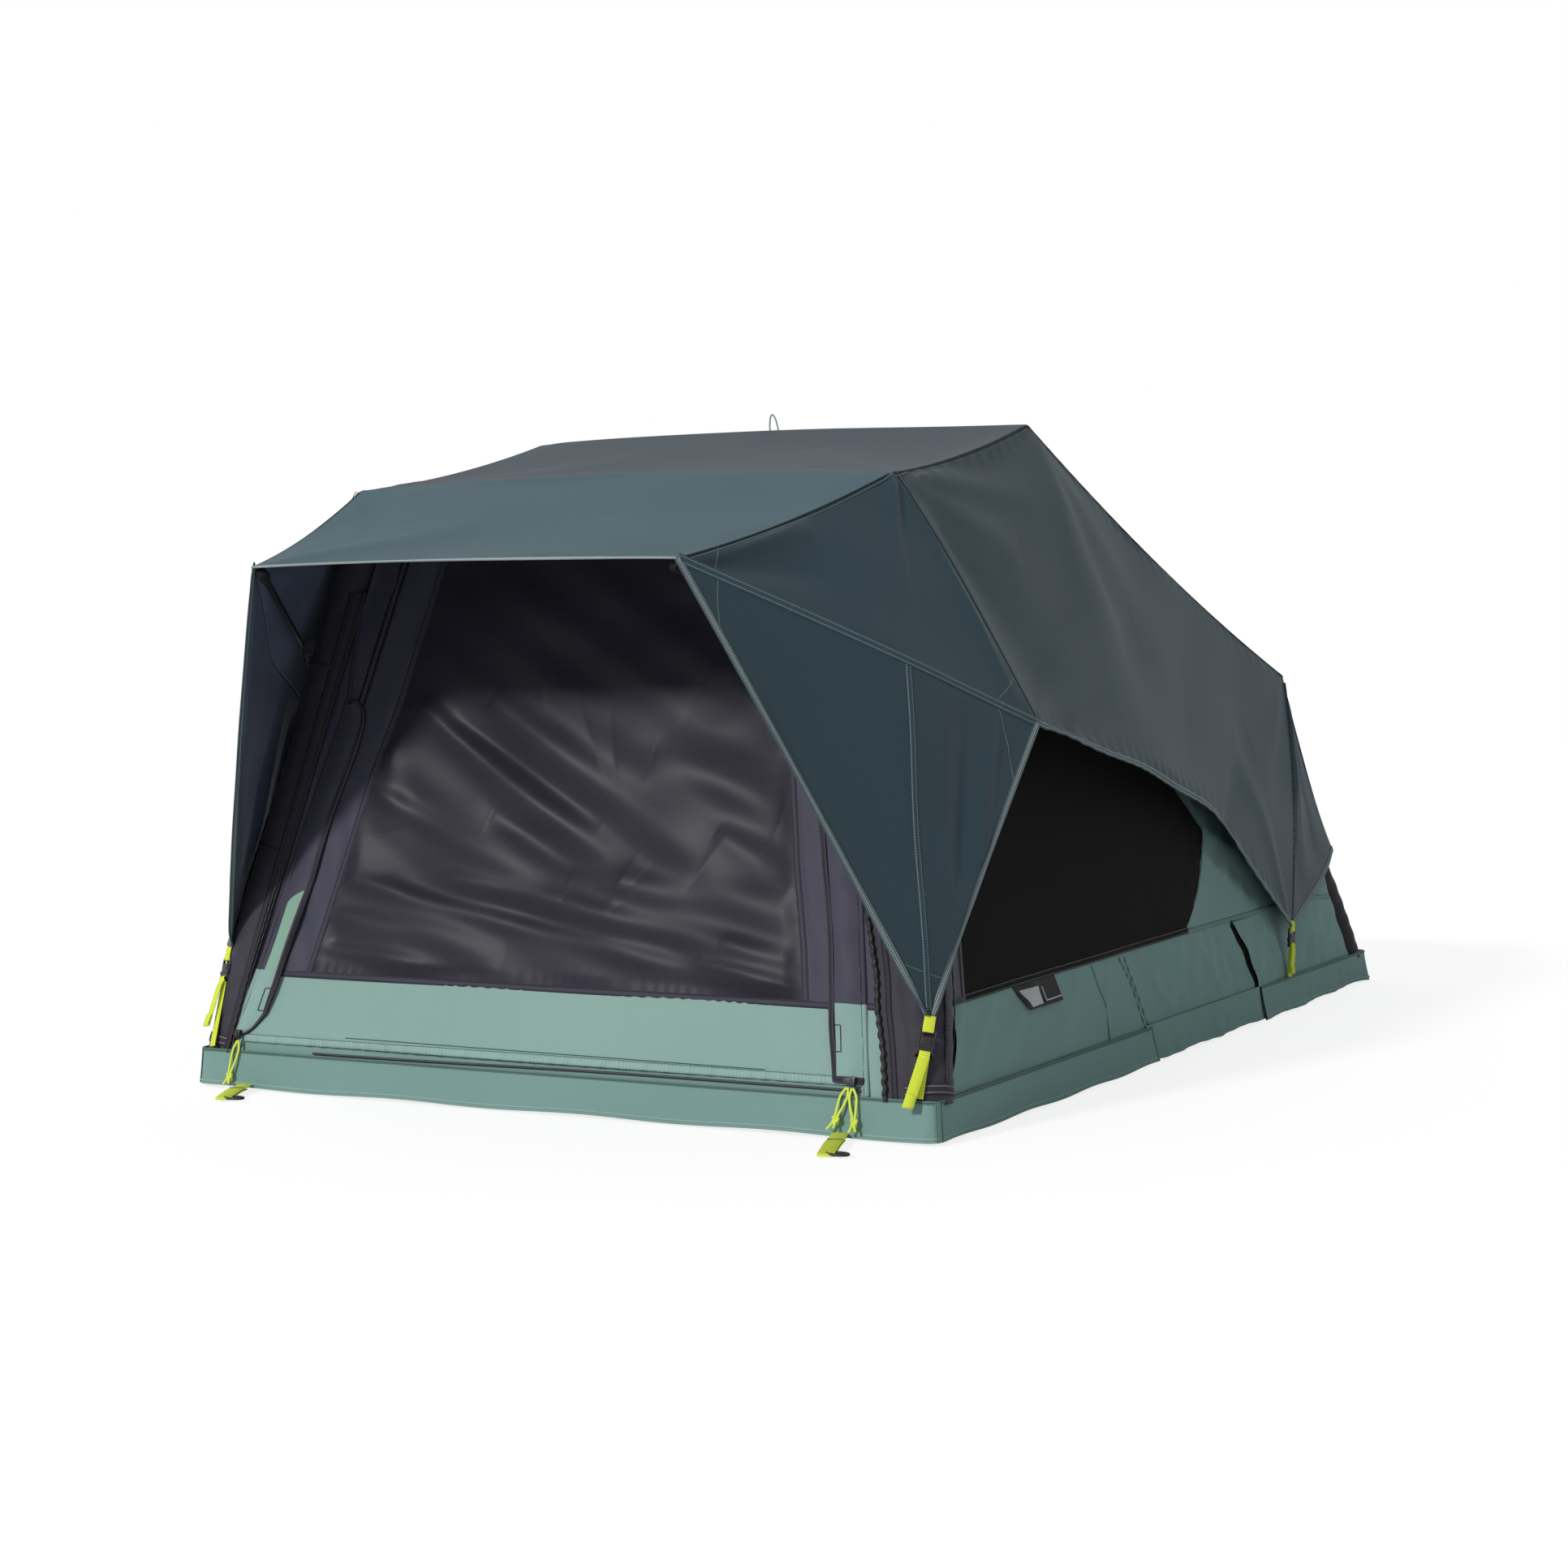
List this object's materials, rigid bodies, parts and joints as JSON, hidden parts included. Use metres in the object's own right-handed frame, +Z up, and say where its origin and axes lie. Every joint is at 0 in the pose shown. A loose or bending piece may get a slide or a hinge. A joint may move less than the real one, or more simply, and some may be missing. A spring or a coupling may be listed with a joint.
{
  "type": "fold-out roof-top tent",
  "caption": "Two-person roof-top camping tent that folds in two, with air-beam hoops, an awning over a zipped door, side windows and a tied-down flysheet.",
  "frame": {"origin": "middle of the bounding box's underside, on the level that the mounting rails rest on", "axes": "+Z up, -Y out of the entrance, +X to the right of someone who looks in at the entrance"},
  "size_m": [1.3398, 2.6157, 1.1259],
  "materials": {
    "fly": "matt coated cloth",
    "green": "matt cotton cloth",
    "dark": "slightly shiny lining cloth",
    "window": "matt blackout cloth",
    "sleeve": "matt sleeve cloth",
    "mattress": "knitted cover",
    "board": "coated board",
    "aluminium": "mill finish",
    "steel": "zinc plated",
    "rod": "coated glass-fibre rod",
    "plastic": "moulded",
    "webbing": "woven webbing",
    "cord": "braided cord",
    "binding": "woven tape"
  },
  "bodies": {
    "base_far": {"frame_far": "aluminium", "floor_panel_far": "board", "mattress_far": "mattress", "skirt_far": "green", "end_wall": "green", "fly_roof_far": "fly", "fly_end": "fly", "mounting_rail_far_left": "aluminium", "mounting_rail_far_right": "aluminium", "hinge_plate_far_left": "steel", "hinge_plate_far_right": "steel", "hinge_pin_left": "steel", "hinge_pin_right": "steel", "wall_far_left": "green", "wall_far_right": "green", "fly_side_far_left": "fly", "fly_side_far_right": "fly", "corner_strap_far_left": "webbing", "corner_strap_far_right": "webbing", "strap_buckle_far_left": "plastic", "strap_buckle_far_right": "plastic"},
    "base_near": {"frame_near": "aluminium", "floor_panel_near": "board", "mattress_near": "mattress", "skirt_near": "green", "front_wall": "dark", "fly_awning": "fly", "fly_roof_near": "fly", "ridge_loop": "binding", "mounting_rail_near_left": "aluminium", "mounting_rail_near_right": "aluminium", "hinge_plate_near_left": "steel", "hinge_plate_near_right": "steel", "wall_near_left": "green", "wall_near_right": "green", "window_left": "window", "window_right": "window", "fly_wing_left": "fly", "fly_wing_right": "fly", "fly_side_near_left": "fly", "fly_side_near_right": "fly", "corner_strap_near_left": "webbing", "corner_strap_near_right": "webbing", "strap_buckle_near_left": "plastic", "strap_buckle_near_right": "plastic", "ground_tab_left": "webbing", "ground_tab_right": "webbing"},
    "near_hoop": {"near_air_beam": "sleeve", "rod_socket_left": "plastic", "rod_socket_right": "plastic"},
    "ridge_hoop": {"ridge_air_beam": "sleeve"},
    "far_hoop": {"far_air_beam": "sleeve"},
    "awning_rod_left": {"awning_rod_left": "rod"},
    "awning_rod_right": {"awning_rod_right": "rod"},
    "wing_rod_left": {"wing_rod_left": "rod"},
    "wing_rod_right": {"wing_rod_right": "rod"},
    "door": {"door_panel": "dark"},
    "zip_slider_left": {"zip_slider_left": "cord"},
    "zip_slider_right": {"zip_slider_right": "cord"},
    "zip_slider_bottom": {"zip_slider_bottom": "cord"}
  },
  "joints": [
    {"name": "base_fold", "type": "hinge", "parent": "base_far", "child": "base_near", "pos_m": [0, 0.1155, 0.17], "axis": [-1, 0, 0], "range_deg": [0, 180], "deforming": ["end_wall", "fly_roof_far", "fly_end", "front_wall", "fly_awning", "fly_roof_near", "ridge_loop", "near_air_beam", "ridge_air_beam", "far_air_beam", "wall_far_left", "wall_far_right", "wall_near_left", "wall_near_right", "window_left", "window_right", "fly_side_far_left", "fly_side_far_right", "fly_side_near_left", "fly_side_near_right", "fly_wing_left", "fly_wing_right", "corner_strap_far_left", "corner_strap_far_right", "corner_strap_near_left", "corner_strap_near_right"]},
    {"name": "near_hoop_fold", "type": "hinge", "parent": "base_near", "child": "near_hoop", "pos_m": [0, -1.03, 0.0556], "axis": [-1, 0, 0], "range_deg": [0, 74.1]},
    {"name": "ridge_hoop_fold", "type": "hinge", "parent": "base_near", "child": "ridge_hoop", "pos_m": [0, -0.077, 0.0556], "axis": [1, 0, 0], "range_deg": [0, 73.1]},
    {"name": "far_hoop_fold", "type": "hinge", "parent": "base_far", "child": "far_hoop", "pos_m": [0, 1.223, 0.0556], "axis": [1, 0, 0], "range_deg": [0, 67.1]},
    {"name": "awning_rod_left_fold", "type": "hinge", "parent": "near_hoop", "child": "awning_rod_left", "pos_m": [-0.55186, -0.92797, 0.71477], "axis": [0.881, 0.4155, -0.2262], "range_deg": [0, 97.3]},
    {"name": "awning_rod_right_fold", "type": "hinge", "parent": "near_hoop", "child": "awning_rod_right", "pos_m": [0.55186, -0.92797, 0.71477], "axis": [0.881, -0.4155, 0.2262], "range_deg": [0, 97.3]},
    {"name": "wing_rod_left_fold", "type": "hinge", "parent": "near_hoop", "child": "wing_rod_left", "pos_m": [-0.56206, -0.90645, 0.71182], "axis": [-0.9138, -0.3438, 0.2162], "range_deg": [0, 64.7]},
    {"name": "wing_rod_right_fold", "type": "hinge", "parent": "near_hoop", "child": "wing_rod_right", "pos_m": [0.56206, -0.90645, 0.71182], "axis": [-0.9138, 0.3438, -0.2162], "range_deg": [0, 64.7]},
    {"name": "door_swing", "type": "hinge", "parent": "base_near", "child": "door", "pos_m": [0, -0.8856, 0.855], "axis": [1, 0, 0], "range_deg": [-30, 0], "deforming": ["door_panel"]},
    {"name": "zip_left_run", "type": "slide", "parent": "base_near", "child": "zip_slider_left", "axis": [-0.1743, -0.2255, -0.9585], "range_m": [-0.74, 0]},
    {"name": "zip_right_run", "type": "slide", "parent": "base_near", "child": "zip_slider_right", "axis": [0.1743, -0.2255, -0.9585], "range_m": [-0.74, 0]},
    {"name": "zip_bottom_run", "type": "slide", "parent": "base_near", "child": "zip_slider_bottom", "axis": [1, 0, 0], "range_m": [-0.8, 0]}
  ],
  "couplings": [
    {"joint": "near_hoop_fold", "follows": "base_fold", "ratio": 0.41111},
    {"joint": "ridge_hoop_fold", "follows": "base_fold", "ratio": 0.40556},
    {"joint": "far_hoop_fold", "follows": "base_fold", "ratio": 0.37222},
    {"joint": "awning_rod_left_fold", "follows": "base_fold", "ratio": 0.54},
    {"joint": "awning_rod_right_fold", "follows": "base_fold", "ratio": 0.54},
    {"joint": "wing_rod_left_fold", "follows": "base_fold", "ratio": 0.35889},
    {"joint": "wing_rod_right_fold", "follows": "base_fold", "ratio": 0.35889}
  ]
}
